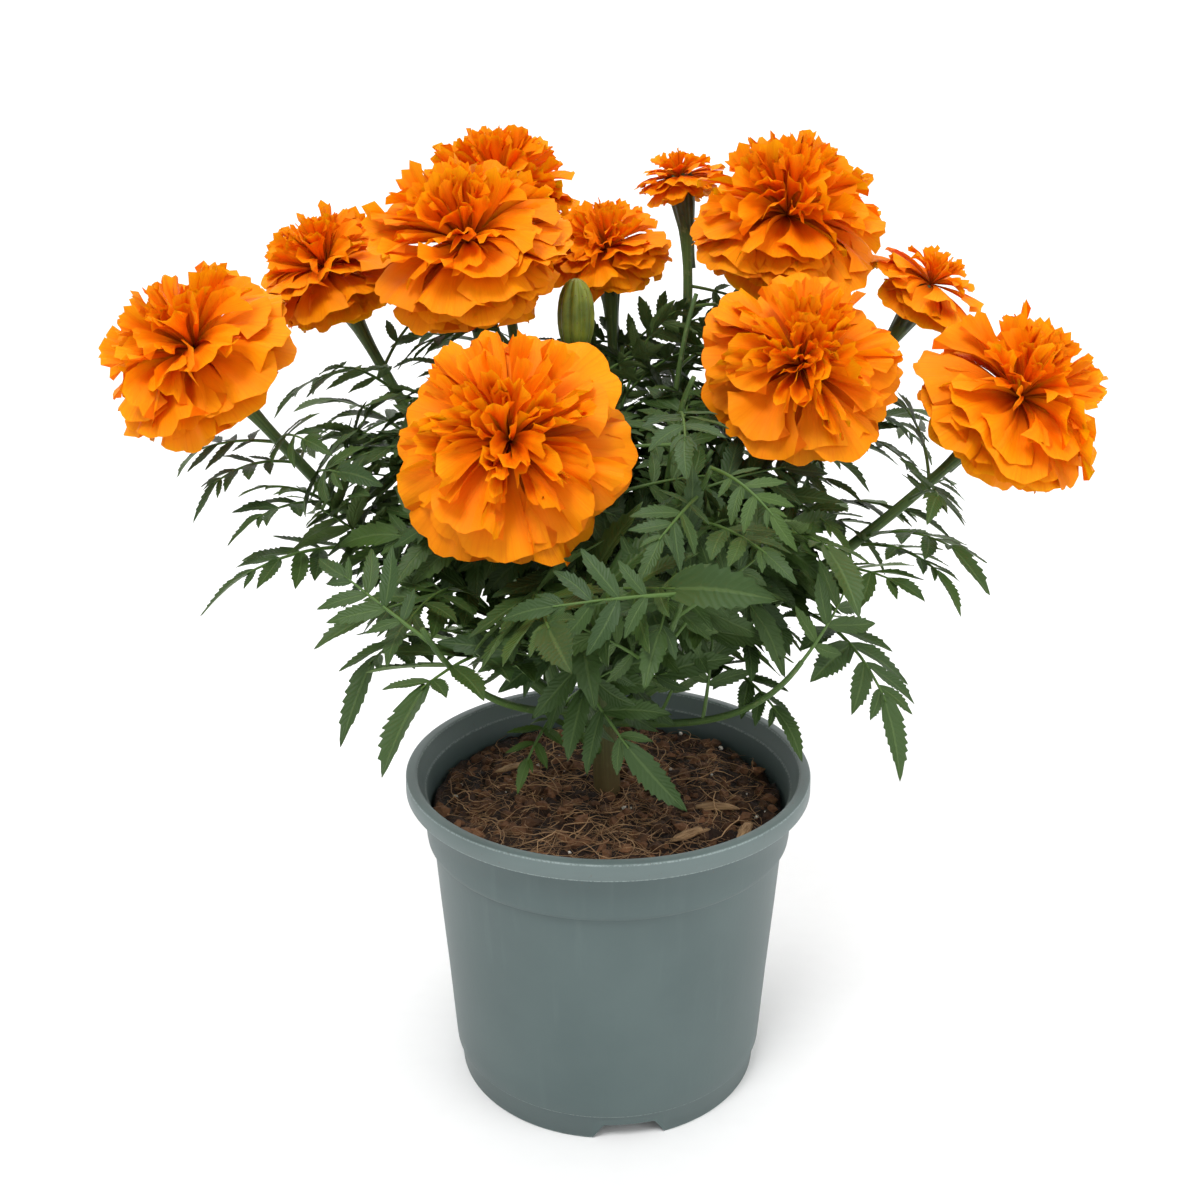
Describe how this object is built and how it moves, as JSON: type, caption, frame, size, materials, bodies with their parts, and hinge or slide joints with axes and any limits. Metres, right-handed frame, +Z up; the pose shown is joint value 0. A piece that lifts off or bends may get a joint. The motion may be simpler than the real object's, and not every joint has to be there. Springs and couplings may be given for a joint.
{
  "type": "potted marigold plant",
  "caption": "Bushy African marigold with domed orange double flowers, a green bud and ferny toothed leaves, rooted in coir in a tapered round nursery pot with a collared rim and notched foot.",
  "frame": {"origin": "the point on the pot's axis at the surface it stands on, under the middle of the whole plant's box", "axes": "+Z up along the pot's axis, -Y out of the plant's best side, where the largest and lowest flower head leans out, +X to the right when that side is faced"},
  "size_m": [0.3148, 0.2232, 0.3168],
  "materials": {
    "pot_plastic": "satin",
    "coir_mix": "matte",
    "bark": "matte",
    "woody_stem": "satin",
    "stem_green": "satin",
    "leaves": "satin",
    "bud_green": "satin",
    "petals": "matte"
  },
  "bodies": {
    "root": {"pot": "pot_plastic", "growing_medium": "coir_mix", "bark_chip_1": "bark", "bark_chip_2": "bark", "bark_chip_3": "bark", "bark_chip_4": "bark", "main_stem": "woody_stem", "flower_stem_1": "stem_green", "flower_stem_2": "stem_green", "flower_stem_3": "stem_green", "flower_stem_4": "stem_green", "flower_stem_5": "stem_green", "flower_stem_6": "stem_green", "flower_stem_7": "stem_green", "flower_stem_8": "stem_green", "flower_stem_9": "stem_green", "flower_stem_10": "stem_green", "flower_stem_11": "stem_green", "flower_head_1": "petals", "flower_head_2": "petals", "flower_head_3": "petals", "flower_head_4": "petals", "flower_head_5": "petals", "flower_head_6": "petals", "flower_head_7": "petals", "flower_head_8": "petals", "flower_head_9": "petals", "flower_head_10": "petals", "flower_head_11": "petals", "bud_stem": "stem_green", "bud": "bud_green", "leaf_01": "leaves", "leaf_02": "leaves", "leaf_03": "leaves", "leaf_04": "leaves", "leaf_05": "leaves", "leaf_06": "leaves", "leaf_07": "leaves", "leaf_08": "leaves", "leaf_09": "leaves", "leaf_10": "leaves", "leaf_11": "leaves", "leaf_12": "leaves", "leaf_13": "leaves", "leaf_14": "leaves", "leaf_15": "leaves", "leaf_16": "leaves", "leaf_17": "leaves", "leaf_18": "leaves", "leaf_19": "leaves", "leaf_20": "leaves", "leaf_21": "leaves", "leaf_22": "leaves", "leaf_23": "leaves", "leaf_24": "leaves", "leaf_25": "leaves", "leaf_26": "leaves", "leaf_27": "leaves", "leaf_28": "leaves"}
  },
  "joints": []
}
